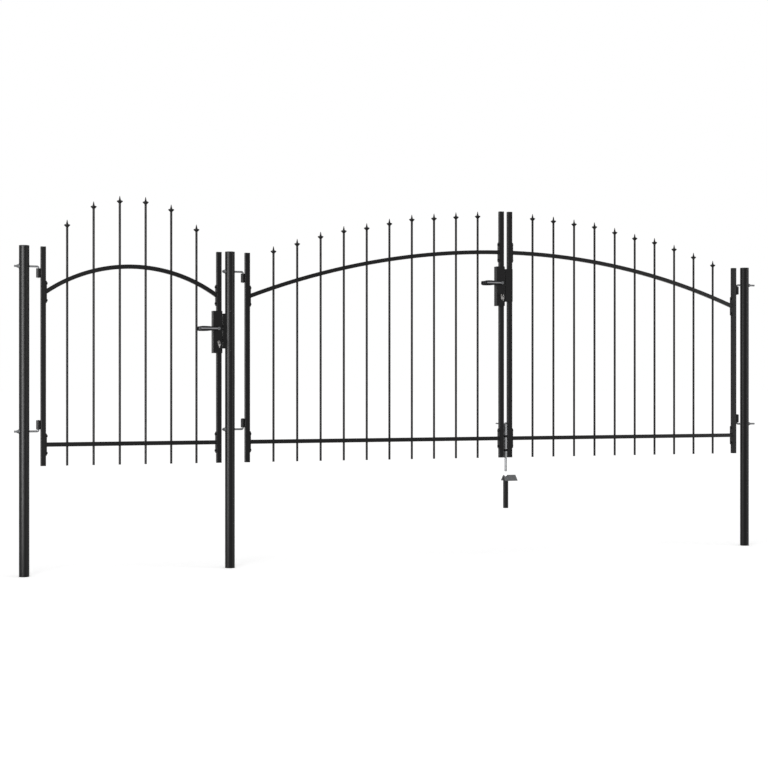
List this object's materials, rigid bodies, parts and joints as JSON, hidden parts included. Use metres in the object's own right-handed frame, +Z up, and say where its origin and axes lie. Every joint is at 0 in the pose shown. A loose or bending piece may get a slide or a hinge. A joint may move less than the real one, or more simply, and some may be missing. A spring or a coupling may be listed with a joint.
{
  "type": "wrought iron driveway gate",
  "caption": "Black steel wicket and double driveway gate on round posts, with arched rails, spear-topped pickets, hook hinges, lever locks and a drop bolt.",
  "frame": {"origin": "centre of the middle post's foot, on its flat underside", "axes": "+X along the gate line to the right seen from the front, +Y away from the front, +Z up"},
  "size_m": [5.078, 0.2055, 2.259],
  "materials": {
    "black_coat": "satin",
    "black_cap": "matt",
    "zinc_plate": "satin",
    "lever_grey": "satin",
    "nickel": "polished"
  },
  "bodies": {
    "root": {"hinge_nuts": "zinc_plate", "hinge_washers": "zinc_plate", "left_hinge_hooks": "zinc_plate", "post_caps": "black_cap", "post_left": "black_coat", "post_middle": "black_coat", "post_right": "black_coat", "right_hinge_hooks": "zinc_plate", "socket_catch": "zinc_plate", "socket_tube": "black_coat", "wicket_hinge_hooks": "zinc_plate", "wicket_keeper": "black_coat"},
    "wicket": {"wicket_arched_rail": "black_coat", "wicket_bottom_rail": "black_coat", "wicket_flange_bolts": "black_coat", "wicket_hinge_barrels": "black_coat", "wicket_hinge_stile": "black_coat", "wicket_lock_case": "black_coat", "wicket_lock_cylinder": "nickel", "wicket_lock_stile": "black_coat", "wicket_pickets": "black_coat", "wicket_stile_caps": "black_cap"},
    "left_leaf": {"left_arched_rail": "black_coat", "left_bottom_rail": "black_coat", "left_flange_bolts": "black_coat", "left_hinge_barrels": "black_coat", "left_hinge_stile": "black_coat", "left_lock_case": "black_coat", "left_lock_cylinder": "nickel", "left_lock_stile": "black_coat", "left_pickets": "black_coat", "left_stile_caps": "black_cap"},
    "right_leaf": {"drop_bolt_bands": "black_coat", "drop_bolt_tube": "zinc_plate", "right_arched_rail": "black_coat", "right_bottom_rail": "black_coat", "right_flange_bolts": "black_coat", "right_hinge_barrels": "black_coat", "right_hinge_stile": "black_coat", "right_keeper": "black_coat", "right_meeting_stile": "black_coat", "right_pickets": "black_coat", "right_stile_caps": "black_cap"},
    "wicket_handle": {"wicket_lever": "lever_grey"},
    "left_handle": {"left_lever": "lever_grey"},
    "wicket_key_plug": {"wicket_key": "nickel"},
    "left_key_plug": {"left_key": "nickel"},
    "bolt": {"drop_bolt": "zinc_plate", "drop_bolt_handle": "zinc_plate"}
  },
  "joints": [
    {"name": "wicket_swing", "type": "hinge", "parent": "root", "child": "wicket", "pos_m": [-1.1575, 0, 0.85], "axis": [0, 0, 1], "range_deg": [0, 90]},
    {"name": "left_leaf_swing", "type": "hinge", "parent": "root", "child": "left_leaf", "pos_m": [0.0815, 0, 0.85], "axis": [0, 0, 1], "range_deg": [0, 90]},
    {"name": "right_leaf_swing", "type": "hinge", "parent": "root", "child": "right_leaf", "pos_m": [3.6395, 0, 0.85], "axis": [0, 0, -1], "range_deg": [0, 90]},
    {"name": "wicket_lever_turn", "type": "hinge", "parent": "wicket", "child": "wicket_handle", "pos_m": [-0.078, 0, 1.467], "axis": [0, -1, 0], "range_deg": [0, 40], "stiffness_Nm_per_rad": 1.5, "springref_deg": -34.38},
    {"name": "left_lever_turn", "type": "hinge", "parent": "left_leaf", "child": "left_handle", "pos_m": [1.8225, 0, 1.7895], "axis": [0, -1, 0], "range_deg": [0, 40], "stiffness_Nm_per_rad": 1.5, "springref_deg": -34.38},
    {"name": "wicket_key_turn", "type": "hinge", "parent": "wicket", "child": "wicket_key_plug", "pos_m": [-0.078, 0, 1.384], "axis": [0, -1, 0], "range_deg": [-90, 90]},
    {"name": "left_key_turn", "type": "hinge", "parent": "left_leaf", "child": "left_key_plug", "pos_m": [1.8225, 0, 1.7065], "axis": [0, -1, 0], "range_deg": [-90, 90]},
    {"name": "drop_bolt_slide", "type": "slide", "parent": "right_leaf", "child": "bolt", "axis": [0, 0, -1], "range_m": [0, 0.065]}
  ]
}
